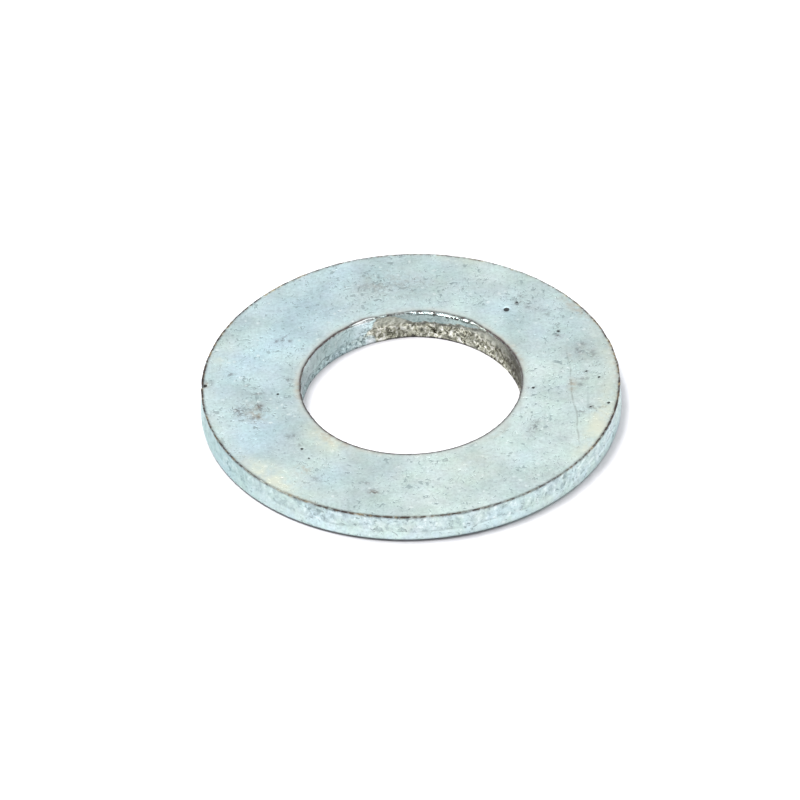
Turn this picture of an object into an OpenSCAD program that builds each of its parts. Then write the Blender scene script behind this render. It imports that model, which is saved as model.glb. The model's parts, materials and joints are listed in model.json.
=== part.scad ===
// Plain flat washer, narrow pattern, for a 1/2 inch or 12 mm bolt.
//
// A single ring stamped from sheet steel. One press stroke punches the hole and the next one
// pushes the blank out of the strip, both from above. Every sheared edge therefore has three
// bands: a rounded roll-over where the tool entered, a straight burnished land, and a rough
// fracture that leans away from the tool. The hole has its roll-over at the top face and the
// rim has it at the bottom face.
//
// Millimetres, +Z up. The origin is the centre of the hole at the bottom face.

/* [Washer] */
// Outside diameter over the burnished land of the rim
outer_d = 25.4; // [20:0.1:40]
// Hole diameter over the burnished land of the hole
hole_d = 13.3; // [8:0.1:15]
// Thickness of the sheet
thickness = 1.75; // [1.2:0.05:2.5]

/* [Hole edge] */
// Height of the roll-over at the top of the hole
hole_roll_h = 0.14; // [0.05:0.01:0.3]
// Width of the roll-over at the top of the hole
hole_roll_w = 0.14; // [0.02:0.01:0.3]
// Height of the straight burnished land in the hole
hole_land_h = 0.75; // [0.3:0.05:0.85]
// How far the hole has widened at the bottom of its fracture
hole_flare = 0.06; // [0:0.01:0.15]

/* [Rim edge] */
// Height of the roll-over at the bottom of the rim
rim_roll_h = 0.2; // [0.05:0.01:0.3]
// Width of the roll-over at the bottom of the rim
rim_roll_w = 0.3; // [0.02:0.01:0.5]
// Height of the straight burnished land on the rim
rim_land_h = 0.5; // [0.2:0.05:0.85]
// How far the rim has drawn in at the top of its fracture
rim_taper = 0.08; // [0:0.01:0.2]

/* [Hidden] */

outer_r = outer_d / 2;
hole_r = hole_d / 2;
// Straight steps along each rounded roll-over
roll_steps = 8;
// Facets around the ring in a preview
$fn = 180;

// Points on a quarter of an ellipse about [cx, cz], from angle a0 to angle a1 in degrees
function quarter_arc(cx, cz, rx, rz, a0, a1) = [
    for (i = [0:roll_steps])
        let (a = a0 + (a1 - a0) * i / roll_steps)
        [cx + rx * cos(a), cz + rz * sin(a)]
];

// The wall of the hole from the bottom face up: fracture, land, then roll-over
function hole_wall() = concat(
    [
        [hole_r + hole_flare, 0],
        [hole_r, thickness - hole_roll_h - hole_land_h]
    ],
    quarter_arc(hole_r + hole_roll_w, thickness - hole_roll_h, hole_roll_w, hole_roll_h, 180, 90)
);

// The rim from the top face down: fracture, land, then roll-over
function rim_wall() = concat(
    [
        [outer_r - rim_taper, thickness],
        [outer_r, rim_roll_h + rim_land_h]
    ],
    quarter_arc(outer_r - rim_roll_w, rim_roll_h, rim_roll_w, rim_roll_h, 0, -90)
);

// Cross-section of the ring, to the right of the axis
module sheared_section() {
    polygon(concat(hole_wall(), rim_wall()));
}

// The stamped ring
module washer() {
    color([0.79, 0.86, 0.86])
        rotate_extrude()
            sheared_section();
}

washer();
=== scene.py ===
"""A plain flat washer: a zinc plated steel stamping, lying on a white table."""

import json
import math

import bpy
import numpy as np
from mathutils import Matrix, Vector


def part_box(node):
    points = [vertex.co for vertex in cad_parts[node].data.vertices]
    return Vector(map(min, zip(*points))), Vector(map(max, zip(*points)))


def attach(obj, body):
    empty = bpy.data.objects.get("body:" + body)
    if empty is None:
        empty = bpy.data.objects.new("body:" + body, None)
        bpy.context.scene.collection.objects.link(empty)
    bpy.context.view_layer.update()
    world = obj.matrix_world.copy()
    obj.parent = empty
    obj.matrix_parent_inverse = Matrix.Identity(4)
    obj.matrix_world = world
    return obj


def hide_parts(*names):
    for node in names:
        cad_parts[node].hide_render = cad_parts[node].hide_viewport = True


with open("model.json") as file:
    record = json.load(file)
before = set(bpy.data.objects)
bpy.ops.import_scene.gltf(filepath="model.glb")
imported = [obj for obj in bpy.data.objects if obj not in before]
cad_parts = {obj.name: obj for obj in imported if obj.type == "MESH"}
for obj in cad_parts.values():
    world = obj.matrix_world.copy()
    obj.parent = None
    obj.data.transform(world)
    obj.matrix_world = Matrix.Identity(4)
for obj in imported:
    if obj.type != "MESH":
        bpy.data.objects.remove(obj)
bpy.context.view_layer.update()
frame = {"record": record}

# ---------------------------------------------------------------- sizes, in millimetres

MM = 0.001
mounts = {m["name"]: m for m in frame["record"]["mounts"]}
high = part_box("washer")[1]
OUTER_R = high.x / MM
THICKNESS = high.z / MM
HOLE_R = mounts["bore"]["dims"]["r_mm"]

# the rim: its roll-over at the bottom, the top of its burnished land, and how far both bands lean in
RIM_ROLL_H = 0.2
RIM_ROLL_W = 0.34
RIM_LAND_TOP = 0.72
RIM_TAPER = 0.08
LAND_LEAN = 0.04
EDGE_R = OUTER_R - RIM_TAPER
RIM_ROLL_CENTRE = OUTER_R - RIM_ROLL_W

# the skin's points: rows around the ring, and columns across each band of it
SEGMENTS = 640
HOLE_STEPS = 27
HOLE_ROLL_STEPS = 15
TOP_STEPS = 57
RIM_STEPS = 22
RIM_ROLL_STEPS = 11
BOTTOM_STEPS = 20
# near the rim's sharp top edge: columns at these distances in from it, the width of that band, columns at
# these distances down from it, and how far down the even ones start
BURR_COLUMNS = (0.1, 0.07, 0.045, 0.02, 0.0)
BURR_BAND = 0.14
UNDER_EDGE = (0.02, 0.05)
RIM_START = 0.1

# below this height the hole's wall leans towards its foot
FLARE_TOP = 0.9
# the hole's roll-over: its depth, as a constant and a share of its width, and the part that is a plain slope
ROLL_DROP = (0.03, 0.42)
ROLL_SLOPE = 0.15

# depth of the wear: torn metal, drag lines from the tools, waves in the faces
HOLE_TEAR = 0.07
HOLE_DRAG = 0.0025
RIM_TEAR = 0.05
RIM_DRAG = 0.003
TOP_WAVE = 0.004
TOP_GRAIN = 0.0012
BOTTOM_WAVE = 0.006
# how ragged the burr is, as a share of its height: sideways and upwards
BURR_RAGGED = (0.8, 0.5)

# two painted highlights in the hole, by angle and half width in degrees: at the foot, and on the roll-over
SHINE = (110.5, 2.6)
PAINTED_BEAD_SPOT = (114.5, 5)
# dark lines: where the rim's one lies, in from its top edge and above it, and how wide they are
EDGE_LINE_AT = (0.035, 0.03)
EDGE_LINE_W = 0.11
HOLE_LINE_W = 0.09
# width of the greyer band beside the hole
FRINGE_W = 0.34
# painted shade in the hole just below its burnished land: how far below the top of the fracture it lies, and
# its half width
LIP_DOWN = 0.11
LIP_W = 0.16
# how blue the rim is, and how much larger than their size the scuffs are drawn
RIM_BLUE = 0.3
MARK_BLUR = 1.35
# depth of the material's bump
BUMP_DEPTH = 0.02

# ---------------------------------------------------------------- shape and wear
#
# Angles are in degrees counter-clockwise from +X. Each table goes round the ring, and the value
# changes evenly from one angle to the next. The places of the plainest pits, scuffs and rust
# came from another script, which worked them out with the fitted camera.

# height of the hole's fracture, as a share of the thickness
HOLE_BREAK = [
    (10, 0.96), (35, 0.96), (48, 0.93), (54, 0.86), (60, 0.76), (68, 0.7), (80, 0.61), (88, 0.6),
    (94, 0.84), (99, 0.95), (106, 0.95), (110, 0.6), (113, 0.45), (122, 0.38), (136, 0.33), (155, 0.28),
    (180, 0.35), (230, 0.5), (280, 0.42), (330, 0.55), (350, 0.8),
]
# width of the hole's roll-over, in mm
HOLE_ROLL = [
    (0, 0.04), (20, 0.05), (40, 0.06), (48, 0.08), (52, 0.14), (57, 0.23), (62, 0.26), (83, 0.27),
    (88, 0.2), (93, 0.08), (106, 0.08), (111, 0.2), (118, 0.19), (124, 0.08), (135, 0.05), (160, 0.04),
    (270, 0.04),
]
# how far the hole's land and its foot stand outside the nominal radius, in mm
LAND_OUT = [
    (0, 0.05), (20, 0.11), (40, 0.12), (55, 0.19), (90, 0.19), (100, 0.16), (110, 0.1), (118, 0.06),
    (130, 0.04), (145, 0.01), (165, 0.02), (185, -0.02), (205, -0.05), (220, -0.01), (235, -0.01),
    (250, -0.03), (270, -0.045), (300, -0.04), (335, -0.03),
]
FOOT_OUT = [
    (0, 0.02), (20, 0.01), (30, 0.0), (45, -0.01), (60, 0.01), (75, 0.04), (90, 0.03), (105, -0.07),
    (120, -0.08), (135, -0.09), (165, -0.1), (200, -0.02), (330, 0.02),
]
# how far the rim's top edge stands outside its nominal radius, and how high its burr is, in mm
EDGE_OUT = [
    (0, 0.0), (45, 0.02), (75, 0.05), (90, 0.045), (105, 0.03), (135, -0.02), (165, -0.005), (180, 0.015),
    (225, 0.01), (270, -0.035), (315, -0.02), (345, 0.025),
]
BURR = [(0, 0.03), (30, 0.012), (150, 0.012), (180, 0.03), (210, 0.045), (330, 0.045)]
# how dark the lines along the edges are: the rim's top, then its bottom as painted shade, then the hole's
# top, partly stain and partly painted shade, and the hole's bottom as painted shade
RIM_LINE = [
    (0, 0.9), (15, 0.95), (45, 0.65), (75, 0.65), (105, 0.75), (135, 0.75), (165, 1.0), (180, 1.3),
    (195, 0.72), (210, 0.78), (225, 0.5), (240, 0.66), (255, 1.0), (270, 0.85), (285, 0.85), (300, 0.64),
    (315, 0.68), (330, 0.78), (345, 1.4),
]
RIM_FOOT_SHADE = [
    (0, 0.0), (180, 0.3), (210, 0.52), (240, 0.68), (270, 0.72), (285, 0.6), (300, 0.22), (315, 0.0),
]
HOLE_STAIN_AND_SHADE_LINE = [
    (0, 0.65), (25, 0.75), (40, 0.9), (48, 0.7), (60, 0.6), (75, 0.5), (90, 0.45), (97, 0.32),
    (106, 0.35), (112, 0.8), (125, 0.95), (150, 0.95), (175, 0.7), (195, 0.85), (215, 0.9), (235, 0.95),
    (250, 0.85), (270, 1.0), (290, 0.85), (310, 0.75), (330, 0.6),
]
HOLE_FOOT_SHADE = [
    (0, 0.3), (30, 0.0), (45, 0.55), (60, 1.0), (75, 1.0), (95, 0.95), (105, 0.7), (115, 0.2), (125, 0.0),
    (155, 0.0), (165, 0.15), (200, 0.5),
]
# how much darker the plating is in the hole: partly duller plating, partly painted shade
BORE_DULL_AND_SHADE = [
    (0, 0.6), (45, 0.48), (60, 0.55), (90, 0.6), (100, 0.45), (112, 0.2), (120, 0.38), (130, 0.45),
    (148, 0.6), (158, 0.3), (172, 0.1), (185, 0.2),
]
# how strong the painted shade is on the torn steel just below the burnished land of the hole
LIP_SHADE_BY_ANGLE = [(20, 0.0), (45, 0.4), (55, 0.9), (84, 0.9), (92, 0.4), (97, 0.0)]
# how strong the painted shade on the rim is, by angle
RIM_SHADE_BY_ANGLE = [
    (180, 0.5), (195, 0.6), (212, 0.46), (228, 0.23), (245, 0.03), (270, 0.06), (285, 0.09), (345, 0.1),
]
# painted light: how much brighter the foot of the rim is
RIM_FOOT_PAINTED_LIGHT = [(232, 0.0), (245, 0.35), (272, 0.35), (285, 0.0), (305, 1.0), (350, 1.0), (10, 0.3), (20, 0.0)]
# how sooty and brown the hole's wall and top edge are
SOOT = [
    (0, 0.75), (12, 1.0), (22, 1.0), (29, 0.6), (36, 0.36), (42, 0.2), (52, 0.15), (60, 0.0), (90, 0.0),
    (96, 0.2), (107, 0.15), (112, 0.0), (345, 0.1),
]
# how much of the fracture in the hole is bare, stained steel
BARE = [
    (0, 0.9), (20, 1.0), (45, 0.95), (60, 0.75), (80, 0.7), (100, 0.75), (108, 0.7), (115, 0.25),
    (130, 0.1), (170, 0.1), (230, 0.35), (300, 0.5),
]
# the plain scratch: how far it is from the middle, in mm, how much that shrinks for each mm towards the
# back, where it is centred, and how far from there it starts to fade and ends
SCRATCH_X = 9.68
SCRATCH_LEAN = 0.05
SCRATCH_Y = -2.0
SCRATCH_REACH = (4.0, 5.5)
# nicks in the sharp top edge: angle, width in mm, depth in mm, which is below 0 where metal sticks out
NICKS = [
    (178.4, 0.16, 0.1), (203, 0.1, 0.04), (208.5, 0.1, 0.05), (216, 0.12, 0.05), (222, 0.08, 0.04),
    (231, 0.16, 0.04), (236, 0.1, 0.05), (244, 0.14, 0.04), (249, 0.08, 0.04), (256.5, 0.09, -0.07),
    (268, 0.08, 0.03), (288, 0.09, 0.04), (303, 0.12, 0.07), (305, 0.07, -0.05), (309, 0.1, 0.05),
    (318, 0.08, 0.04),
]
# pits in the top face: angle, share of the ring's width from the hole, size in mm, depth in mm
PITS = [
    (49.3, 0.42, 0.4, 0.05), (27.3, 0.594, 0.22, 0.03), (354.6, 0.126, 0.22, 0.02),
    (348.8, 0.909, 0.22, 0.03), (178.1, 0.968, 0.34, 0.03), (184.1, 0.232, 0.2, 0.02),
    (221.4, 0.364, 0.22, 0.02), (227.4, 0.422, 0.16, 0.02), (48.9, 0.575, 0.2, 0.01),
    (3.9, 0.667, 0.18, 0.01), (0.6, 0.789, 0.2, 0.01), (346.1, 0.742, 0.18, 0.01),
]

# Each patch below is (angle, share of the ring's width from the hole, mm round, mm across, strength).

# small dark scuffs and blurred spots
MARKS = [
    (48.7, 0.589, 0.26, 0.26, 1.0), (48.9, 0.56, 0.2, 0.2, 0.9), (52, 0.598, 0.4, 0.26, 0.6),
    (50.2, 0.678, 0.3, 0.2, 0.6), (44, 0.6, 0.5, 0.3, 0.4), (38, 0.66, 0.7, 0.3, 0.45),
    (25, 0.552, 0.3, 0.2, 0.9), (29.5, 0.6, 0.2, 0.3, 0.6), (354, 0.08, 0.16, 0.3, 0.7),
    (355.5, 0.14, 0.3, 0.16, 0.6), (347, 0.879, 0.24, 0.2, 0.9), (346.2, 0.85, 0.16, 0.3, 0.7),
    (6.5, 0.79, 0.2, 0.5, 0.7), (18, 0.72, 0.3, 0.4, 0.5), (12, 0.78, 0.6, 0.4, 0.5),
    (343, 0.67, 0.4, 0.4, 0.6), (357, 0.6, 0.3, 0.4, 0.6), (0, 0.64, 0.24, 0.5, 0.6),
    (327, 0.33, 0.6, 0.4, 0.6), (331, 0.3, 0.5, 0.3, 0.5), (148.2, 0.386, 0.44, 0.18, 1.0),
    (150.5, 0.432, 0.36, 0.16, 0.8), (148.1, 0.315, 0.3, 0.2, 0.7), (172.5, 0.72, 0.3, 0.34, 0.7),
    (178, 0.53, 0.2, 0.3, 0.7), (180, 0.46, 0.2, 0.3, 0.6), (174, 0.12, 0.3, 0.4, 0.7),
    (183, 0.44, 0.2, 0.6, 0.7), (177, 0.93, 0.5, 0.5, 0.6), (190.3, 0.447, 0.24, 0.4, 0.9),
    (192.5, 0.44, 0.4, 0.24, 0.8), (190.5, 0.67, 0.4, 0.4, 0.7), (193, 0.66, 0.5, 0.5, 0.6),
    (192, 0.56, 0.3, 0.5, 0.6), (196.5, 0.52, 0.24, 0.6, 0.8), (212, 0.36, 0.4, 0.24, 0.6),
    (213, 0.3, 0.3, 0.2, 0.6), (219, 0.33, 0.2, 0.3, 0.6), (256.5, 0.63, 0.46, 0.34, 1.0),
    (253, 0.5, 0.5, 0.24, 0.5), (236, 0.64, 0.5, 0.3, 0.5), (14.7, 0.652, 0.4, 0.3, 0.8),
    (3.9, 0.667, 0.24, 0.24, 0.8), (0.6, 0.789, 0.24, 0.3, 0.8), (346.1, 0.742, 0.3, 0.3, 0.8),
    (344.4, 0.797, 0.4, 0.2, 0.8), (97, 0.5, 1.2, 0.5, 0.35), (101, 0.36, 0.9, 0.4, 0.35),
    (105, 0.55, 1.0, 0.4, 0.3), (92, 0.3, 0.8, 0.4, 0.3),
]
# grey mottled dirt
GRIME = [
    (98, 0.55, 4.0, 2.6, 1.0), (84, 0.5, 3.0, 2.0, 0.5), (193, 0.52, 2.6, 2.2, 1.0),
    (14, 0.7, 3.0, 2.0, 0.8), (0, 0.55, 2.0, 2.0, 0.5), (28, 0.6, 1.6, 1.4, 0.6),
    (46, 0.62, 2.0, 1.4, 0.6), (68, 0.6, 3.0, 1.6, 0.4), (186, 0.85, 3.0, 1.6, 0.4),
    (235, 0.4, 3.0, 1.6, 0.4), (331, 0.28, 2.4, 1.6, 0.5), (262, 0.35, 3.0, 2.0, 0.35),
]
# where the plating is bluest
BLUE = [
    (150, 0.5, 13.0, 7.0, 0.8), (120, 0.6, 6.0, 5.0, 0.45), (108, 0.8, 4.0, 2.6, 0.7),
    (180, 0.4, 7.0, 5.0, 0.6), (204, 0.5, 4.0, 4.0, 0.6), (208, 0.75, 2.6, 2.4, 0.7),
    (240, 0.55, 2.4, 2.6, 0.7), (60, 0.45, 3.0, 3.0, 0.5), (44, 0.35, 3.6, 2.4, 0.5),
    (30, 0.4, 3.0, 2.4, 0.4), (312, 0.6, 3.0, 2.4, 0.25), (80, 0.8, 3.0, 2.0, 0.3),
]
# cream stain
CREAM = [
    (342, 0.88, 5.0, 1.5, 1.0), (330, 0.92, 3.0, 1.2, 0.7), (225, 0.9, 4.6, 2.0, 1.0),
    (226, 0.1, 3.2, 1.6, 0.8), (75, 0.97, 3.0, 0.8, 0.5), (164, 0.88, 2.4, 1.0, 0.5),
    (200, 0.96, 3.0, 0.8, 0.3), (10, 0.94, 6.0, 1.0, 0.5), (45, 0.03, 6.0, 0.6, 0.5),
    (295, 0.3, 4.0, 2.4, 0.3),
]
# orange-brown rust
RUST = [
    (180, 0.02, 2.6, 0.36, 1.0), (232, 0.02, 3.0, 0.4, 0.5), (238, 0.98, 3.0, 0.3, 0.6),
    (250, 0.02, 2.0, 0.3, 0.4), (128, 0.02, 1.4, 0.3, 0.5), (230, 0.6, 1.0, 0.9, 0.5),
    (256.5, 0.63, 0.5, 0.4, 0.25), (194, 0.5, 1.4, 1.0, 0.4), (224, 0.06, 2.4, 0.6, 0.5),
    (318, 0.08, 2.2, 0.5, 0.3), (22, 0.05, 3.0, 0.5, 0.4), (345, 0.97, 3.0, 0.4, 0.2),
    (357, 0.52, 1.2, 0.5, 0.5), (32, 0.94, 2.0, 0.6, 0.4), (30, 0.03, 4.0, 0.4, 0.6),
    (102, 0.02, 1.6, 0.3, 0.5), (178, 0.96, 0.6, 0.4, 0.5), (38, 0.93, 2.0, 0.8, 0.25),
    (12, 0.55, 0.9, 0.2, 0.3), (5, 0.97, 4.0, 0.3, 0.4),
]

# ---------------------------------------------------------------- repeatable noise, each with its own seed


def hashed(corner, seed):
    """A random number from 0 to 1 that depends only on a lattice corner and the seed."""
    # large odd numbers stir the bits
    n = corner[..., 0] * 73856093 ^ corner[..., 1] * 19349663 ^ corner[..., 2] * 83492791
    n = (n ^ seed * 961748927) & 0xFFFFFFFF
    n = (n ^ n >> 15) * 2246822519 & 0xFFFFFFFF
    n = (n ^ n >> 13) * 3266489917 & 0xFFFFFFFF
    return (n ^ n >> 16) / 0xFFFFFFFF


def noise(points, cell, seed):
    """Smooth noise from -1 to 1, with lumps about one cell (mm, or mm along each axis) across."""
    scaled = points / np.asarray(cell, float)
    corner = np.floor(scaled).astype(np.int64)
    part = scaled - corner
    part = part * part * (3 - 2 * part)
    total = 0
    for step in np.ndindex(2, 2, 2):
        weight = np.prod(np.where(step, part, 1 - part), axis=-1)
        total = total + weight * hashed(corner + np.array(step), seed)
    return 2 * total - 1


def layered(points, cell, seed, layers=4):
    """Noise with finer and weaker layers added, still roughly from -1 to 1."""
    total, scale = 0, 1.0
    for layer in range(layers):
        total = total + scale * noise(points, np.asarray(cell, float) * scale, seed + layer)
        scale *= 0.5
    return total


def chips(points, cell, seed):
    """A random height from -1 to 1 for each torn grain of metal, about one cell across."""
    scaled = points / cell
    base = np.floor(scaled).astype(np.int64)
    nearest = np.full(points.shape[:-1], np.inf)
    height = np.zeros(points.shape[:-1])
    for step in np.ndindex(3, 3, 3):
        corner = base + np.array(step) - 1
        centre = corner + np.stack([hashed(corner, seed + k) for k in range(3)], axis=-1)
        distance = np.linalg.norm(scaled - centre, axis=-1)
        closer = distance < nearest
        nearest = np.where(closer, distance, nearest)
        height = np.where(closer, hashed(corner, seed + 3), height)
    return 2 * height - 1


def smooth(value, start, end):
    """0 at or before start, 1 at or beyond end, and a soft step between."""
    t = np.clip((value - start) / (end - start), 0, 1)
    return t * t * (3 - 2 * t)


def round_the_ring(theta, points):
    """The value at each angle from a table of (degrees, value), closed round the ring."""
    angles = np.array([p[0] for p in points], float)
    values = np.array([p[1] for p in points], float)
    return np.interp(np.degrees(theta) % 360, angles, values, period=360)


def on_ring(share):
    """The radius at a share of the ring's width: 0 at the hole, 1 at the rim's top edge."""
    return HOLE_R + share * (EDGE_R - HOLE_R)


def patches(points, places, blur=1.0):
    """How strongly each point is in any of a table's soft patches, from 0 to 1."""
    total = np.zeros(points.shape[:-1])
    r = np.hypot(points[..., 0], points[..., 1])
    a = np.arctan2(points[..., 1], points[..., 0])
    for place, share, length, width, strength in places:
        middle = on_ring(share)
        turned = (a - math.radians(place) + math.pi) % (2 * math.pi) - math.pi
        spread = (turned * middle / (length / 2)) ** 2 + ((r - middle) / (width / 2)) ** 2
        total = total + strength * np.exp(-spread / blur**2)
    return np.clip(total, 0, 1)


# ---------------------------------------------------------------- cross-section
#
# Each strip is (zone, radii, heights), with a row for each angle. theta is a column of angles.


def hole_strips(land, foot, roll):
    """The wall of the hole from its bottom edge up, then its roll-over."""
    drop = ROLL_DROP[0] + ROLL_DROP[1] * roll
    heights = np.linspace(0, 1, HOLE_STEPS, endpoint=False)[None, :] * (THICKNESS - drop)
    wall = land + (foot - land) * (1 - smooth(heights, 0, FLARE_TOP))
    # a gentle slope that turns sharply down at its inner end
    inward = np.cos(np.radians(np.linspace(0, 90, HOLE_ROLL_STEPS))[None, :])
    fall = ROLL_SLOPE * inward**2 + (1 - ROLL_SLOPE) * (1 - np.sqrt(1 - inward**4))
    return [("hole", wall, heights), ("hole_roll", land + roll * (1 - inward), THICKNESS - drop * fall)]


def top_strips(mouth, edge):
    """The top face, then the band along its outer edge that carries the burr."""
    share = np.linspace(0, 1, TOP_STEPS)[None, 1:]
    face = mouth + (edge - BURR_BAND - mouth) * share
    burr = edge - np.array([BURR_COLUMNS])
    return [("top", face, np.full_like(face, THICKNESS)), ("burr", burr, np.full_like(burr, THICKNESS))]


def rim_strips(edge):
    """The rim from its top edge down, then its roll-over."""
    column = np.ones_like(edge)
    near_edge = THICKNESS - np.array(UNDER_EDGE)
    heights = np.concatenate([near_edge, np.linspace(THICKNESS - RIM_START, RIM_ROLL_H, RIM_STEPS)])
    taper = np.clip((heights - RIM_LAND_TOP) / (THICKNESS - RIM_LAND_TOP), 0, 1)
    land = OUTER_R - LAND_LEAN * smooth(heights, RIM_ROLL_H, RIM_LAND_TOP)
    turn = np.radians(np.linspace(0, -90, RIM_ROLL_STEPS)[1:])
    roll = RIM_ROLL_CENTRE + RIM_ROLL_W * np.cos(turn)
    return [
        ("rim", land + (edge - land) * taper, heights * column),
        ("rim_roll", roll * column, RIM_ROLL_H * (1 + np.sin(turn)) * column),
    ]


def bottom_strip(foot):
    """The bottom face, from the rim's roll-over in to the hole."""
    share = np.linspace(1, 0, BOTTOM_STEPS)[None, 1:-1]
    radii = foot + (RIM_ROLL_CENTRE - foot) * share
    return ("bottom", radii, np.zeros_like(radii))


def strips(theta, edge):
    """The ring's skin before wear: up the hole, out over the top, down the rim and back underneath."""
    circle = np.stack([np.cos(theta), np.sin(theta), 0 * theta], axis=-1)
    roll = round_the_ring(theta, HOLE_ROLL) * (1 + 0.12 * layered(circle, 0.13, 7, 3))
    land = HOLE_R + round_the_ring(theta, LAND_OUT)
    foot = HOLE_R + round_the_ring(theta, FOOT_OUT)
    hole = hole_strips(land, foot, roll)
    return [*hole, *top_strips(land + roll, edge), *rim_strips(edge), bottom_strip(foot)]


# ---------------------------------------------------------------- the skin, worn


class Skin:
    """The ring's surface as a grid of points in mm, with a row for each angle, worn step by step."""

    def __init__(self):
        theta = (np.arange(SEGMENTS) * 2 * math.pi / SEGMENTS)[:, None]
        self.edge = EDGE_R + round_the_ring(theta, EDGE_OUT)
        parts = strips(theta, self.edge)
        self.zone = np.concatenate([[name] * radii.shape[1] for name, radii, _ in parts])
        self.radius = np.concatenate([radii for _, radii, _ in parts], axis=1)
        self.height = np.concatenate([heights for _, _, heights in parts], axis=1)
        self.mouth = parts[1][1][:, -1:]
        self.angle = theta * np.ones_like(self.radius)
        self.fresh = self.points()
        self.plan = self.fresh * np.array([1, 1, 0])
        self.hole = self.within("hole")
        self.hole_roll = self.within("hole_roll")
        self.top = self.within("top")
        self.burr = self.within("burr")
        self.rim = self.within("rim")
        self.rim_roll = self.within("rim_roll")

    def within(self, name):
        """1 in the columns of that zone, and 0 in the others."""
        return (self.zone == name)[None, :] * 1.0

    def points(self):
        """Where the points are now."""
        x, y = self.radius * np.cos(self.angle), self.radius * np.sin(self.angle)
        return np.stack([x, y, self.height], axis=-1)

    def around(self, table):
        """The value of a table at each point's angle."""
        return round_the_ring(self.angle, table)

    def wall(self):
        """1 on the hole's wall, fading out on the roll-over near the top face."""
        return self.hole + self.hole_roll * smooth(THICKNESS - self.height, 0.02, 0.12)

    def unrolled(self, radius):
        """Distance along a wall of that radius, and height."""
        return np.stack([self.angle * radius, self.height, 0 * self.height], axis=-1)

    def bell(self, spot, power):
        """1 at a spot's angle, falling off at its half width, more sharply for a larger power."""
        return np.exp(-(((np.degrees(self.angle) - spot[0]) / spot[1]) ** power))

    def tear_hole(self):
        """A torn fracture low in the hole, and above it a burnished land with fine drag lines."""
        level = THICKNESS * self.around(HOLE_BREAK)
        self.hole_break = level + 0.09 * layered(self.fresh, 0.5, 11) + 0.04 * noise(self.fresh, 0.14, 12)
        below = self.hole_break - self.height
        self.torn_hole = self.hole * smooth(below, -0.03, 0.05)
        rough = 0.5 * layered(self.fresh, 0.24, 21, 3) + 0.6 * chips(self.fresh, 0.17, 31)
        tear = HOLE_TEAR * (0.5 + 0.5 * np.clip(rough, -1, 1))
        tear = tear * smooth(self.height, -0.05, 0.12) * smooth(below, 0, 0.25)
        drag = HOLE_DRAG * noise(self.unrolled(HOLE_R), (0.06, 1.2, 1), 41)
        self.radius = self.radius + self.torn_hole * tear + self.hole * (1 - self.torn_hole) * drag

    def wave_hole_roll(self):
        """The roll-over at the hole's top edge is a little uneven."""
        wobble = 0.012 * layered(self.fresh, 1.3, 51, 3) + 0.034 * noise(self.fresh, 0.22, 54)
        wobble = wobble + 0.012 * noise(self.fresh, 0.12, 55)
        self.radius = self.radius + self.hole_roll * wobble * smooth(THICKNESS - self.height, 0.0, 0.03)

    def tear_rim(self):
        """A fracture in the upper part of the rim, and a burnished land below it."""
        rim_break = RIM_LAND_TOP + 0.1 * layered(self.fresh, 1.1, 61) + 0.03 * noise(self.fresh, 0.2, 62)
        self.torn_rim = self.rim * smooth(self.height - rim_break, -0.04, 0.08)
        self.rim_land = (self.rim + self.rim_roll) * (1 - self.torn_rim)
        rough = 0.7 * layered(self.fresh, 0.4, 71, 3) + 0.3 * chips(self.fresh, 0.24, 81)
        tear = RIM_TEAR * (0.5 + 0.5 * np.clip(rough, -1, 1)) * smooth(THICKNESS - self.height, 0.0, 0.1)
        drag = RIM_DRAG * noise(self.unrolled(OUTER_R), (0.09, 1.0, 1), 91)
        self.radius = self.radius - self.torn_rim * tear + self.rim_land * drag

    def raise_burr(self):
        """The sharp top edge of the rim carries a low, nicked burr."""
        ragged = layered(self.plan, 0.5, 101, 4)
        burr = self.around(BURR)
        nicks = 0
        for place, width, depth in NICKS:
            off = (np.degrees(self.angle) - place + 180) % 360 - 180
            nicks = nicks + depth * np.exp(-((off / math.degrees(width / EDGE_R)) ** 2))
        near = smooth(self.radius, self.edge - 0.16, self.edge - 0.01)
        near = near * smooth(self.height, THICKNESS - 0.14, THICKNESS - 0.02)
        lift = burr * (1 + BURR_RAGGED[1] * ragged) - 0.5 * nicks
        self.radius = self.radius + near * (BURR_RAGGED[0] * burr * ragged - nicks)
        self.height = self.height + (self.burr + self.rim) * near * lift

    def dent_faces(self):
        """The faces are almost flat. The top one has pits."""
        wave = TOP_WAVE * layered(self.plan, 5.0, 111, 2) + TOP_GRAIN * noise(self.fresh, 0.3, 113)
        self.height = self.height + self.top * wave
        self.pit = np.zeros_like(self.height)
        for place, share, size, depth in PITS:
            turn = math.radians(place)
            centre = on_ring(share) * np.array([math.cos(turn), math.sin(turn)])
            distance = np.linalg.norm(self.fresh[..., :2] - centre, axis=-1) / (size / 2)
            self.pit = np.maximum(self.pit, np.clip(1.6 - distance, 0, 1.6) * self.top)
            self.height = self.height - self.top * depth * smooth(1.5 - distance, 0, 1.2)
        under = BOTTOM_WAVE * (1 + noise(self.fresh, 1.1, 121)) * smooth(self.radius, HOLE_R, HOLE_R + 0.5)
        self.height = self.height + self.within("bottom") * under

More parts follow.
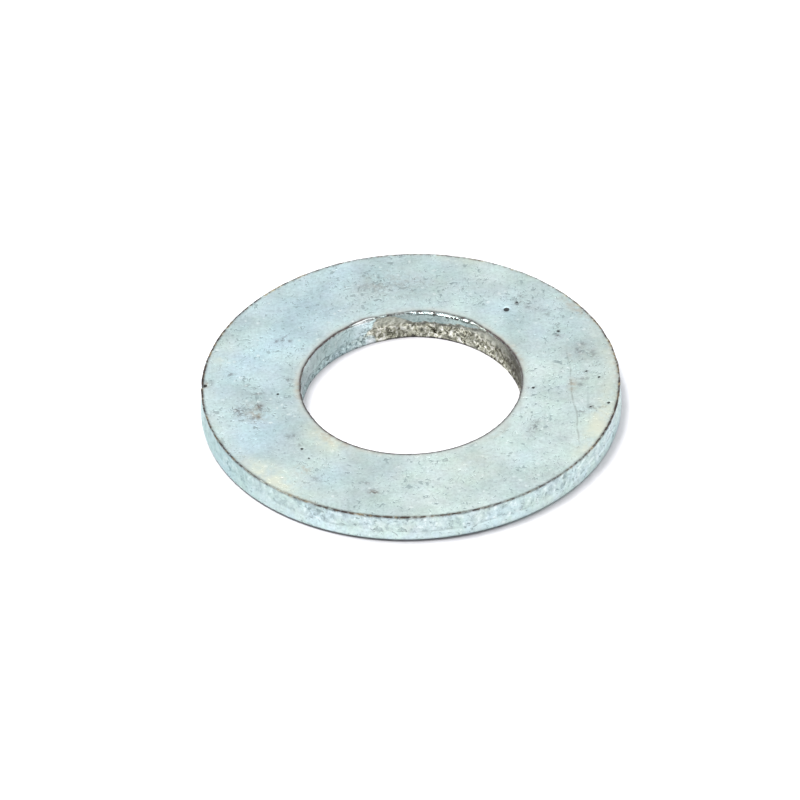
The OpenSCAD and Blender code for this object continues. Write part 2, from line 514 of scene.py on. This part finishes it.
    def hole_masks(self):
        """Where the material changes on the hole's wall and its roll-over, and where shade and highlights
        are painted there.
        """
        low_down = smooth(self.height, 0.7, 0.1)
        # a band of painted shade just below the burnished land
        lip = np.exp(-(((self.hole_break - self.height - LIP_DOWN) / LIP_W) ** 2))
        # a painted highlight on one short stretch of the roll-over
        bead = self.bell(PAINTED_BEAD_SPOT, 4)
        soot = (self.hole * (1 - 0.55 * low_down) + self.hole_roll + self.top) * self.around(SOOT)
        return {
            "torn_hole": self.torn_hole,
            "land": self.hole * (1 - self.torn_hole) + self.hole_roll,
            "wall": self.wall(),
            # darker plating, partly painted shade; less dark low down as painted light, where the wall
            # mirrors the shadowed table
            "bore": self.wall() * self.around(BORE_DULL_AND_SHADE) * (1 - 0.75 * low_down),
            "lip": self.torn_hole * lip * self.around(LIP_SHADE_BY_ANGLE),
            "smear": self.torn_hole * smooth(self.height, 0.85, 1.2),
            # painted shade in small gaps along the roll-over, kept off its painted highlight
            "roll": self.hole_roll * (1 - 0.8 * bead),
            "bead": self.hole_roll * bead,
            # a painted highlight low on the hole's wall
            "shine": self.hole * self.bell(SHINE, 2) * low_down,
            "bare": (self.hole + self.hole_roll) * self.around(BARE),
            "soot": soot * smooth(self.radius - self.mouth, 0.2, 0.0),
        }

    def rim_masks(self):
        """Where the material changes on the rim, and where light and shade are painted on it."""
        side = self.rim + self.rim_roll
        return {
            "torn_rim": self.torn_rim,
            "rim_land": self.rim_land,
            # painted light on the foot of the rim
            "lift": side * self.around(RIM_FOOT_PAINTED_LIGHT) * smooth(self.height, 0.45, 0.2),
            # painted shade on the rim, by angle
            "rim_dull": side * self.around(RIM_SHADE_BY_ANGLE),
        }

    def edge_masks(self):
        """Dark lines along the sheared edges, painted shade along the two feet, and the greyer band beside
        the hole.
        """
        above = self.height - THICKNESS
        from_edge = np.hypot(self.radius - self.edge + EDGE_LINE_AT[0], above - EDGE_LINE_AT[1])
        from_mouth = np.hypot(self.radius - self.mouth, above)
        # painted shade along the feet of the rim and the hole
        rim_shade_line = (self.rim + self.rim_roll) * self.around(RIM_FOOT_SHADE) * smooth(self.height, 0.25, 0.06)
        hole_shade_line = self.hole * self.around(HOLE_FOOT_SHADE) * smooth(self.height, 0.11, 0.03)
        return {
            "edge": self.around(RIM_LINE) * np.exp(-((from_edge / EDGE_LINE_W) ** 2)),
            # the line at the hole's top edge is partly stain and partly painted shade
            "hole_edge": self.around(HOLE_STAIN_AND_SHADE_LINE) * np.exp(-((from_mouth / HOLE_LINE_W) ** 2)),
            "fringe": self.top * np.exp(-((from_mouth / FRINGE_W) ** 2)),
            "foot": rim_shade_line + hole_shade_line,
        }

    def face_masks(self):
        """Pits, scuffs and stains on the top face, and the bluer areas everywhere."""
        face = self.top + self.burr
        stained = face + self.hole_roll
        blue = patches(self.fresh, BLUE) * (face + self.wall())
        return {
            "pit": self.pit,
            "mark": patches(self.fresh, MARKS, MARK_BLUR) * self.top,
            "blue": blue + RIM_BLUE * (self.rim + self.rim_roll),
            "grime": patches(self.fresh, GRIME) * face,
            "cream": patches(self.fresh, CREAM) * stained,
            "rust": patches(self.fresh, RUST) * stained,
        }


def build_washer():
    """The washer's mesh, closed, in metres, with its masks stored on its points."""
    skin = Skin()
    skin.tear_hole()
    skin.wave_hole_roll()
    skin.tear_rim()
    skin.raise_burr()
    skin.dent_faces()
    index = np.arange(skin.radius.size).reshape(skin.radius.shape)
    ahead = np.roll(index, -1, axis=0)
    quads = np.stack([index, ahead, np.roll(ahead, -1, axis=1), np.roll(index, -1, axis=1)], axis=-1)
    mesh = bpy.data.meshes.new("zinc_plated_washer")
    mesh.from_pydata((skin.points().reshape(-1, 3) * MM).tolist(), [], quads.reshape(-1, 4).tolist())
    mesh.polygons.foreach_set("use_smooth", np.ones(len(mesh.polygons), bool))
    masks = {**skin.hole_masks(), **skin.rim_masks(), **skin.edge_masks(), **skin.face_masks()}
    for name, values in masks.items():
        layer = mesh.attributes.new(name, "FLOAT", "POINT")
        layer.data.foreach_set("value", values.reshape(-1).astype(np.float32))
    mesh.update()
    piece = bpy.data.objects.new("zinc_plated_washer", mesh)
    bpy.context.scene.collection.objects.link(piece)
    return piece


# ---------------------------------------------------------------- shader nodes


class Nodes:
    """Short calls that add shader nodes to one material or world."""

    def __init__(self, owner):
        owner.use_nodes = True
        self.tree = owner.node_tree
        self.tree.nodes.clear()

    def add(self, kind, **settings):
        node = self.tree.nodes.new("ShaderNode" + kind)
        for key, value in settings.items():
            setattr(node, key, value)
        return node

    def plug(self, socket, value):
        """Links value when it is a socket, and stores it when it is a number or colour."""
        if isinstance(value, bpy.types.NodeSocket):
            self.tree.links.new(value, socket)
        else:
            socket.default_value = value

    def mask(self, name):
        """One of the masks stored on the washer's points."""
        return self.add("Attribute", attribute_name=name).outputs["Fac"]

    def math(self, operation, a, b=0.0, clamp=False):
        node = self.add("Math", operation=operation, use_clamp=clamp)
        self.plug(node.inputs[0], a)
        self.plug(node.inputs[1], b)
        return node.outputs[0]

    def times(self, a, b, clamp=False):
        return self.math("MULTIPLY", a, b, clamp)

    def plus(self, a, b, clamp=False):
        return self.math("ADD", a, b, clamp)

    def less(self, a, b, clamp=False):
        return self.math("SUBTRACT", a, b, clamp)

    def larger(self, a, b):
        return self.math("MAXIMUM", a, b)

    def absolute(self, value):
        return self.math("ABSOLUTE", value)

    def noise(self, place, cell, detail=3.0, rough=0.5, warp=0.0):
        """Noise with lumps about one cell across, in mm."""
        node = self.add("TexNoise")
        self.plug(node.inputs["Vector"], place)
        self.plug(node.inputs["Scale"], 1 / cell)
        self.plug(node.inputs["Detail"], detail)
        self.plug(node.inputs["Roughness"], rough)
        self.plug(node.inputs["Distortion"], warp)
        return node.outputs["Fac"]

    def span(self, value, start, end, low=0.0, high=1.0):
        """Maps start..end to low..high with a soft step, and holds it beyond."""
        node = self.add("MapRange", interpolation_type="SMOOTHSTEP")
        settings = {"Value": value, "From Min": start, "From Max": end, "To Min": low, "To Max": high}
        for key, number in settings.items():
            self.plug(node.inputs[key], number)
        return node.outputs["Result"]

    def blend(self, share, first, second, kind="MIX"):
        """Mixes or multiplies two colours: the first alone where share is 0."""
        node = self.add("Mix", data_type="RGBA", blend_type=kind, clamp_factor=True)
        self.plug(node.inputs["Factor"], share)
        for socket, colour in zip((node.inputs[6], node.inputs[7]), (first, second)):
            self.plug(socket, colour if isinstance(colour, bpy.types.NodeSocket) else (*colour, 1.0))
        return node.outputs[2]

    def cover(self, colour, paint, share, strength):
        """The colour with paint over it where share is 1, at most that strong."""
        return self.blend(self.times(share, strength), colour, paint)

    def tinted(self, colour, tint):
        """The colour multiplied by another one."""
        return self.blend(1.0, colour, tint, "MULTIPLY")

    def ramp(self, value, stops):
        """The colour at that value, from stops of (value, colour)."""
        node = self.add("ValToRGB")
        elements = node.color_ramp.elements
        while len(elements) < len(stops):
            elements.new(1.0)
        for element, (place, colour) in zip(elements, stops):
            element.position = place
            element.color = (*colour, 1.0)
        self.plug(node.inputs["Fac"], value)
        return node.outputs["Color"]

    def scaled(self, colour, amount):
        """The colour or place multiplied by a number."""
        node = self.add("VectorMath", operation="SCALE")
        self.plug(node.inputs[0], colour)
        self.plug(node.inputs["Scale"], amount)
        return node.outputs[0]

    def stretched(self, place, amounts):
        """The place multiplied by a number along each axis, so that small numbers make long lumps."""
        node = self.add("VectorMath", operation="MULTIPLY")
        self.plug(node.inputs[0], place)
        self.plug(node.inputs[1], amounts)
        return node.outputs[0]

    def split(self, place):
        """The place's "X", "Y" and "Z"."""
        node = self.add("SeparateXYZ")
        self.plug(node.inputs[0], place)
        return node.outputs

    def shaken(self, place, cell, amount):
        """The place moved about by noise, so that round shapes turn ragged, in mm."""
        node = self.add("TexNoise")
        self.plug(node.inputs["Vector"], place)
        self.plug(node.inputs["Scale"], 1 / cell)
        self.plug(node.inputs["Detail"], 2.0)
        moved = self.add("VectorMath", operation="ADD")
        self.plug(moved.inputs[0], place)
        self.plug(moved.inputs[1], self.scaled(node.outputs["Color"], amount))
        return moved.outputs[0]

    def dots(self, place, cell, share, size=0.42):
        """Round specks of mixed sizes, in that share of the cells."""
        node = self.add("TexVoronoi")
        self.plug(node.inputs["Vector"], place)
        self.plug(node.inputs["Scale"], 1 / cell)
        chance = self.add("SeparateColor")
        self.plug(chance.inputs[0], node.outputs["Color"])
        over = self.less(self.plus(chance.outputs[0], share), 1.0)
        reach = self.times(self.span(over, 0.0, 0.25), size)
        return self.span(self.less(reach, node.outputs["Distance"]), 0.0, 0.12)


# ---------------------------------------------------------------- colours

WHITE = (1.0, 1.0, 1.0)
# the plating: its clouds, its bluest areas, and tints over small and large areas
PLATE_CLOUDS = [(0.34, (0.59, 0.73, 0.735)), (0.66, (0.625, 0.742, 0.71))]
PLATE_BLUE = (0.548, 0.71, 0.768)
PLATE_TINT = [(0.36, (1.014, 0.986, 1.008)), (0.64, (0.982, 1.006, 0.984))]
FRONT_TO_BACK = [(0.0, (0.968, 0.96, 0.958)), (1.0, (0.96, 0.965, 0.972))]
GLINT = (0.88, 0.95, 0.94)
# dirt and marks on the plating
SPECK_GREY = (0.2, 0.255, 0.265)
GRIME_GREY = (0.33, 0.34, 0.31)
SCUFF = (0.12, 0.115, 0.12)
STREAK = (0.3, 0.38, 0.38)
SCRATCH = (0.27, 0.31, 0.29)
CREAM_STAIN = (0.755, 0.775, 0.63)
RUST_STAIN = (0.40, 0.26, 0.13)
FRINGE_GREY = (0.62, 0.65, 0.61)
# the rim
RIM_TINT = [(0.4, (1.0, 1.0, 0.95)), (0.6, (0.985, 0.99, 1.01))]
RIM_HOLLOW = (0.29, 0.37, 0.38)
RIM_RAISED = (0.86, 0.94, 0.93)
# painted shade on the rim
RIM_SHADE = (0.22, 0.38, 0.37)
# the hole's plated wall, then its bare steel, with painted shade and painted highlights among them
BORE_FLECK = [
    (0.37, (0.34, 0.38, 0.39)), (0.45, (0.86, 0.9, 0.9)), (0.55, (1.1, 1.1, 1.1)),
    (0.64, (1.45, 1.4, 1.38)),
]
# darker plating in the hole: partly duller plating, partly painted shade
BORE_SHADE = (0.09, 0.137, 0.115)
# painted shade in small gaps along the roll-over's highlight
ROLL_GAP_SHADE = (0.10, 0.105, 0.10)
# painted highlight on one short stretch of the roll-over
PAINTED_BEAD_WHITE = (0.95, 0.98, 0.97)
# painted highlight low on the hole's wall
SHINE_WHITE = (0.88, 0.93, 0.94)
STEEL_GRAINS = [
    (0.37, (0.035, 0.03, 0.022)), (0.445, (0.27, 0.27, 0.20)), (0.52, (0.60, 0.60, 0.47)),
    (0.60, (1.00, 1.00, 0.92)),
]
STEEL_OLIVE = (0.46, 0.47, 0.40)
STEEL_SMEAR = (0.49, 0.52, 0.45)
# painted shade just below the hole's burnished land
LIP_SHADE = (0.085, 0.09, 0.08)
SOOT_BROWN = (0.085, 0.078, 0.062)
# lines, the painted shade along the feet, and pits
EDGE_LINE = [(0.42, (0.06, 0.05, 0.05)), (0.54, (0.13, 0.105, 0.08)), (0.66, (0.36, 0.30, 0.19))]
# partly brown stain, partly painted shade along the hole's top edge
HOLE_STAIN_AND_SHADE_DARK = (0.11, 0.09, 0.088)
# painted shade along the feet
FOOT_SHADE = (0.05, 0.045, 0.055)
PIT_BLACK = (0.03, 0.03, 0.03)
# the table and the light that comes from all around
TABLE_WHITE = (0.9, 0.885, 0.915)
STUDIO_WHITE = (0.98, 0.99, 1.0)

# ---------------------------------------------------------------- zinc plated steel
#
# place is a point on the washer in mm, and colour is what has been painted so far.


def plating(n, place, on_rim, mottle, grain):
    """The plating's colour: pale grey-green with blue patches, in soft clouds, and mottled."""
    clouds = n.noise(place, 3.5, detail=4.0, rough=0.6, warp=0.4)
    colour = n.ramp(clouds, PLATE_CLOUDS)
    colour = n.blend(n.times(n.mask("blue"), n.span(clouds, 0.62, 0.38, 0.6, 1.0)), colour, PLATE_BLUE)
    colour = n.tinted(colour, n.ramp(n.noise(place, 1.3, detail=4.0, rough=0.6), PLATE_TINT))
    colour = n.tinted(colour, n.ramp(n.span(n.split(place)["Y"], -OUTER_R, OUTER_R), FRONT_TO_BACK))
    patch = n.noise(place, 5.0, detail=2.0)
    tone = n.times(n.span(mottle, 0.28, 0.72, 0.76, 1.16), n.span(grain, 0.3, 0.7, 0.89, 1.09))
    tone = n.times(tone, n.span(patch, 0.3, 0.7, 0.93, 1.06))
    return n.scaled(colour, n.span(on_rim, 0.0, 1.0, tone, n.span(grain, 0.3, 0.7, 0.87, 1.03)))


def hairlines(n, place, density):
    """Short curly hairlines: where a noise crosses its middle value, in the areas with more dirt."""
    height = n.noise(place, 0.9, detail=2.0, rough=0.6, warp=1.5)
    line = n.span(n.absolute(n.less(height, 0.5)), 0.008, 0.03, 1.0, 0.0)
    part = n.plus(n.noise(place, 0.35, detail=2.0), n.times(density, 0.3))
    return n.times(line, n.span(part, 0.66, 0.74))


def add_specks(n, place, colour):
    """Short ragged grey marks and specks, denser in some areas and where dirt has gathered."""
    density = n.plus(n.noise(place, 2.6), n.times(n.mask("grime"), 0.3))
    ragged = n.shaken(place, 0.32, 0.5)
    wide, tall = n.stretched(ragged, (0.55, 1.0, 1.0)), n.stretched(ragged, (1.0, 0.5, 1.0))
    dashes = n.dots(wide, 0.42, n.span(density, 0.4, 0.8, 0.12, 0.5), size=0.37)
    ticks = n.dots(tall, 0.36, n.span(density, 0.4, 0.8, 0.1, 0.4))
    small = n.dots(place, 0.2, n.span(density, 0.35, 0.8, 0.06, 0.3))
    wiggles = hairlines(n, place, density)
    speck = 0.0
    for marks, strength in ((dashes, 0.66), (ticks, 0.6), (small, 0.45), (wiggles, 0.75)):
        colour = n.cover(colour, SPECK_GREY, marks, strength)
        speck = n.larger(speck, marks)
    return colour, speck


def add_dirt(n, place, colour):
    """Smudges of dirt, small glints, and dark scuffs."""
    smudge = n.span(n.noise(place, 0.55, detail=5.0, rough=0.75), 0.42, 0.66)
    colour = n.cover(colour, GRIME_GREY, n.times(n.mask("grime"), smudge), 0.52)
    colour = n.cover(colour, GLINT, n.dots(n.shaken(place, 0.3, 0.3), 0.36, 0.28, size=0.36), 0.35)
    gaps = n.span(n.noise(place, 0.2, rough=0.6, warp=0.8), 0.44, 0.54, 0.05, 1.2)
    return n.cover(colour, SCUFF, n.times(n.mask("mark"), gaps, clamp=True), 0.8)


def add_scratches(n, place, colour):
    """Faint marks from rolling the sheet, all one way, and one plainer scratch."""
    streak = n.noise(n.stretched(place, (1.0, 0.04, 1.0)), 0.22, detail=2.0)
    colour = n.blend(n.span(streak, 0.58, 0.75, 0.0, 0.2), colour, STREAK)
    axes = n.split(place)
    x, y = axes["X"], axes["Y"]
    wander = n.span(n.noise(place, 2.5, detail=2.0), 0.3, 0.7, -0.09, 0.09)
    across = n.less(n.less(n.plus(x, n.times(y, SCRATCH_LEAN)), SCRATCH_X), wander)
    scratch = n.span(n.absolute(across), 0.02, 0.09, 1.0, 0.0)
    scratch = n.times(scratch, n.span(n.absolute(n.less(y, SCRATCH_Y)), *SCRATCH_REACH, 1.0, 0.0))
    scratch = n.times(scratch, n.span(n.noise(place, 0.6), 0.35, 0.55, 0.25, 1.0))
    return n.cover(colour, SCRATCH, scratch, 0.5)


def add_stains(n, place, colour):
    """Cream and rust stains."""
    cream = n.times(n.mask("cream"), n.span(n.noise(place, 1.4, detail=4.0, rough=0.65), 0.3, 0.62))
    colour = n.cover(colour, CREAM_STAIN, cream, 0.82)
    rust = n.times(n.mask("rust"), n.span(n.noise(place, 0.4, rough=0.6), 0.35, 0.6))
    return n.cover(colour, RUST_STAIN, rust, 0.85)


def add_rim(n, place, colour, on_rim):
    """The rim's fracture is plated too, greyer and mottled in its hollows, and its land is cleaner. Its foot
    has painted light, and painted shade darkens it by angle.
    """
    land = n.mask("rim_land")
    tint = n.ramp(n.noise(place, 1.1, rough=0.6), RIM_TINT)
    colour = n.blend(on_rim, colour, n.tinted(colour, tint))
    colour = n.scaled(colour, n.span(land, 0.0, 1.0, 1.0, 1.13))
    side = n.larger(n.mask("torn_rim"), n.times(land, 0.35))
    blocks = n.noise(place, 0.42, detail=4.0, rough=0.7, warp=0.4)
    colour = n.cover(colour, RIM_HOLLOW, n.times(side, n.span(blocks, 0.5, 0.64)), 0.68)
    colour = n.cover(colour, RIM_RAISED, n.times(side, n.span(blocks, 0.47, 0.34)), 0.6)
    # painted light on the foot of the rim
    colour = n.scaled(colour, n.span(n.mask("lift"), 0.0, 1.0, 1.0, 1.16))
    # painted shade on the rim, by angle
    return n.blend(n.mask("rim_dull"), colour, RIM_SHADE)


def add_hole_wall(n, place, colour, grains):
    """In the hole the plating is darker, partly duller and partly painted shade, and speckled where it
    covers the fracture.
    """
    speckled = n.span(n.mask("torn_hole"), 0.0, 1.0, 0.3, 1.0)
    speckled = n.blend(speckled, WHITE, n.ramp(grains, BORE_FLECK))
    # darker plating in the hole: partly duller plating, partly painted shade
    dull_and_shaded = n.blend(n.mask("bore"), colour, BORE_SHADE)
    return n.blend(n.mask("wall"), colour, n.tinted(dull_and_shaded, speckled))


def add_roll_over(n, place, colour):
    """The bright roll-over is broken by small gaps, rougher and painted dark as shade. One short stretch has
    a pale painted highlight.
    """
    # small gaps painted dark as shade in the roll-over's highlight
    gap_shade = n.times(n.mask("roll"), n.span(n.noise(place, 0.34, detail=4.0, rough=0.75), 0.5, 0.55))
    colour = n.blend(gap_shade, colour, ROLL_GAP_SHADE)
    bead = n.times(n.mask("bead"), n.span(n.noise(place, 0.3, rough=0.7), 0.32, 0.42))
    return n.cover(colour, PAINTED_BEAD_WHITE, bead, 0.9), n.larger(gap_shade, bead)


def torn_steel(n, place, grains):
    """Torn steel without plating: olive and cream grains with dark gaps, and painted shade just below the
    burnished land.
    """
    steel = n.ramp(grains, STEEL_GRAINS)
    steel = n.blend(n.span(n.noise(place, 0.6, detail=2.0), 0.4, 0.65, 0.0, 0.35), steel, STEEL_OLIVE)
    flattened = n.stretched(place, (1.0, 1.0, 2.0))
    steel = n.scaled(steel, n.span(n.noise(flattened, 0.5), 0.35, 0.65, 0.72, 1.18))
    steel = n.cover(steel, STEEL_SMEAR, n.mask("smear"), 0.62)
    # painted shade just below the burnished land
    lip = n.times(n.mask("lip"), n.span(n.noise(place, 0.3), 0.35, 0.55, 0.6, 1.0))
    return n.blend(lip, steel, LIP_SHADE)


def add_torn_steel(n, place, colour, grains):
    """The bare steel in the hole, its bright spot as a painted highlight, and the soot round its upper edge.
    """
    # a painted highlight low on the hole's wall
    colour = n.cover(colour, SHINE_WHITE, n.mask("shine"), 0.9)
    bare = n.less(n.times(n.mask("bare"), n.mask("torn_hole")), n.mask("shine"), clamp=True)
    soot = n.mask("soot")
    steel = n.scaled(torn_steel(n, place, grains), n.span(soot, 0.0, 1.0, 1.0, 0.4))
    colour = n.blend(n.span(bare, 0.1, 0.6), colour, steel)
    brown = n.times(soot, n.span(n.noise(place, 0.35, detail=4.0, rough=0.7), 0.34, 0.6, 0.45, 1.0))
    return n.cover(colour, SOOT_BROWN, brown, 0.8), bare


def add_edge_lines(n, place, colour):
    """Greyer plating beside the hole, dark lines along the sheared edges, painted shade along the feet, and
    black pits.
    """
    fringe = n.times(n.mask("fringe"), n.span(n.noise(place, 0.7), 0.35, 0.6, 0.3, 0.8))
    colour = n.blend(fringe, colour, FRINGE_GREY)
    broken = n.noise(place, 0.3, rough=0.6)
    line = n.times(n.mask("edge"), n.span(broken, 0.3, 0.62, 0.6, 1.55), clamp=True)
    colour = n.blend(line, colour, n.ramp(n.noise(place, 0.5, detail=4.0, rough=0.65), EDGE_LINE))
    # partly stain and partly painted shade along the hole's top edge
    stain_and_shade_line = n.times(n.mask("hole_edge"), n.span(broken, 0.25, 0.6, 0.8, 1.4), clamp=True)
    colour = n.blend(stain_and_shade_line, colour, HOLE_STAIN_AND_SHADE_DARK)
    # painted shade along the feet of the rim and the hole
    foot = n.times(n.mask("foot"), n.span(broken, 0.25, 0.55, 0.75, 1.1), clamp=True)
    colour = n.blend(foot, colour, FOOT_SHADE)
    pit = n.span(n.plus(n.mask("pit"), n.times(broken, 0.4)), 0.75, 0.95)
    return n.cover(colour, PIT_BLACK, pit, 0.95), line


def roughness(n, mottle, worn, spots, dark):
    """Satin plate, smoother where the punch burnished it, rougher where it is worn, spotted or dark."""
    rough = n.less(n.span(mottle, 0.3, 0.7, 0.44, 0.34), n.times(n.mask("land"), 0.18))
    rough = n.plus(rough, n.times(worn, 0.1))
    rough = n.plus(rough, n.times(spots, 0.4))
    return n.plus(rough, n.times(dark, 0.2), clamp=True)


def fine_bump(n, grain, grains, speck):
    """Plating grain everywhere, deeper in the fractures, and shallow specks."""
    torn = n.larger(n.mask("torn_hole"), n.times(n.mask("torn_rim"), 0.5))
    depth = n.plus(n.times(grain, 0.4), n.times(n.times(grains, torn), 3.0))
    bump = n.add("Bump")
    n.plug(bump.inputs["Strength"], 0.6)
    n.plug(bump.inputs["Distance"], BUMP_DEPTH * MM)
    n.plug(bump.inputs["Height"], n.less(depth, n.times(speck, 0.4)))
    return bump.outputs["Normal"]


def zinc_plate():
    """Bright zinc plating, bluish, with grey specks, stains, and bare torn steel in the hole."""
    material = bpy.data.materials.new("zinc_plated_steel")
    n = Nodes(material)
    place = n.scaled(n.add("TexCoord").outputs["Object"], 1 / MM)
    mottle = n.noise(place, 2.2, detail=6.0, rough=0.62)
    grain = n.noise(place, 0.19, rough=0.7)
    grains = n.noise(place, 0.23, rough=0.64, warp=0.8)
    on_rim = n.plus(n.mask("torn_rim"), n.mask("rim_land"), clamp=True)

    colour = plating(n, place, on_rim, mottle, grain)
    colour, speck = add_specks(n, place, colour)
    colour = add_dirt(n, place, colour)
    colour = add_scratches(n, place, colour)
    colour = add_stains(n, place, colour)
    colour = add_rim(n, place, colour, on_rim)
    colour = add_hole_wall(n, place, colour, grains)
    colour, spots = add_roll_over(n, place, colour)
    colour, bare = add_torn_steel(n, place, colour, grains)
    colour, line = add_edge_lines(n, place, colour)
    rough = roughness(n, mottle, n.larger(bare, speck), spots, n.larger(line, n.mask("soot")))

    shader = n.add("BsdfPrincipled")
    n.plug(shader.inputs["Metallic"], 1.0)
    n.plug(shader.inputs["Base Color"], colour)
    n.plug(shader.inputs["Roughness"], rough)
    n.plug(shader.inputs["Normal"], fine_bump(n, grain, grains, speck))
    out = n.add("OutputMaterial")
    n.plug(out.inputs["Surface"], shader.outputs["BSDF"])
    return material


def floor_paint():
    """Matt white table top."""
    material = bpy.data.materials.new("white_table")
    n = Nodes(material)
    shader = n.add("BsdfPrincipled")
    n.plug(shader.inputs["Base Color"], (*TABLE_WHITE, 1.0))
    n.plug(shader.inputs["Roughness"], 0.9)
    n.plug(shader.inputs["Specular IOR Level"], 0.1)
    out = n.add("OutputMaterial")
    n.plug(out.inputs["Surface"], shader.outputs["BSDF"])
    return material


# ---------------------------------------------------------------- stage, in metres

TABLE_R = 3.0
TABLE_SIDES = 96
# how far back and how far up the surroundings start and stop getting brighter, from -1 to 1
WORLD_BACK = (-0.9, 0.7)
WORLD_TOP = (0.68, 0.97)
# the camera: degrees down and of roll, its distance, its lens and sensor in mm, and where it aims:
# left and up in the picture, and up along Z
CAMERA_DOWN = 39.07
CAMERA_ROLL = 1.75
CAMERA_DISTANCE = 0.5473
CAMERA_LENS = 408.0
CAMERA_SENSOR = 36.0
AIM_LEFT = 0.00068
AIM_ABOVE = 0.00031
AIM_HEIGHT = 0.000104


def add_floor():
    """A round white table top under the washer."""
    mesh = bpy.data.meshes.new("table_top")
    turns = [2 * math.pi * i / TABLE_SIDES for i in range(TABLE_SIDES)]
    corners = [(TABLE_R * math.cos(turn), TABLE_R * math.sin(turn), 0.0) for turn in turns]
    mesh.from_pydata(corners, [], [list(range(TABLE_SIDES))])
    mesh.materials.append(floor_paint())
    floor = bpy.data.objects.new("table_top", mesh)
    bpy.context.scene.collection.objects.link(floor)


def add_softbox(name, place, size, radiance):
    """A square white softbox of the given brightness at place, facing the washer."""
    data = bpy.data.lights.new(name, "AREA")
    data.shape = "SQUARE"
    data.size = size
    data.energy = radiance * math.pi * size * size
    light = bpy.data.objects.new(name, data)
    light.location = place
    light.rotation_euler = (-Vector(place)).to_track_quat("-Z", "Y").to_euler()
    bpy.context.scene.collection.objects.link(light)


def add_world(front, back, overhead):
    """Soft white surroundings, brighter at the back than at the front, and brighter overhead."""
    world = bpy.data.worlds.new("studio")
    bpy.context.scene.world = world
    n = Nodes(world)
    direction = n.split(n.add("TexCoord").outputs["Generated"])
    level = n.span(direction["Y"], *WORLD_BACK, front, back)
    level = n.plus(level, n.span(direction["Z"], *WORLD_TOP, 0.0, overhead))
    background = n.add("Background")
    n.plug(background.inputs["Color"], (*STUDIO_WHITE, 1.0))
    n.plug(background.inputs["Strength"], level)
    out = n.add("OutputWorld")
    n.plug(out.inputs["Surface"], background.outputs[0])


def add_camera():
    """A long lens looking down at the washer, which sits a little right of and below the middle."""
    tilt, turn = math.radians(CAMERA_DOWN), math.radians(CAMERA_ROLL)
    back = Vector((0, -math.cos(tilt), math.sin(tilt)))
    up = Vector((0, math.sin(tilt), math.cos(tilt)))
    side = Vector((1, 0, 0))
    x_axis = side * math.cos(turn) - up * math.sin(turn)
    y_axis = side * math.sin(turn) + up * math.cos(turn)
    data = bpy.data.cameras.new("camera")
    data.sensor_width = CAMERA_SENSOR
    data.lens = CAMERA_LENS
    data.clip_start = 0.01
    data.clip_end = 20.0
    camera = bpy.data.objects.new("camera", data)
    aim = Vector((0, 0, AIM_HEIGHT)) - x_axis * AIM_LEFT + y_axis * AIM_ABOVE
    place = aim + back * CAMERA_DISTANCE
    camera.matrix_world = Matrix.Translation(place) @ Matrix((x_axis, y_axis, back)).transposed().to_4x4()
    bpy.context.scene.collection.objects.link(camera)
    bpy.context.scene.camera = camera


# ---------------------------------------------------------------- assembly

add_camera()
add_world(front=0.34, back=0.8, overhead=0.3)
add_softbox("key", place=(-0.138, 0.045, 0.477), size=0.17, radiance=24.0)
add_softbox("fill", place=(0.12, 0.13, 0.47), size=0.16, radiance=3.5)
add_floor()
bpy.context.scene.view_settings.view_transform = "Standard"

washer = build_washer()
washer.data.materials.append(zinc_plate())
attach(washer, "root")
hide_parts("washer")
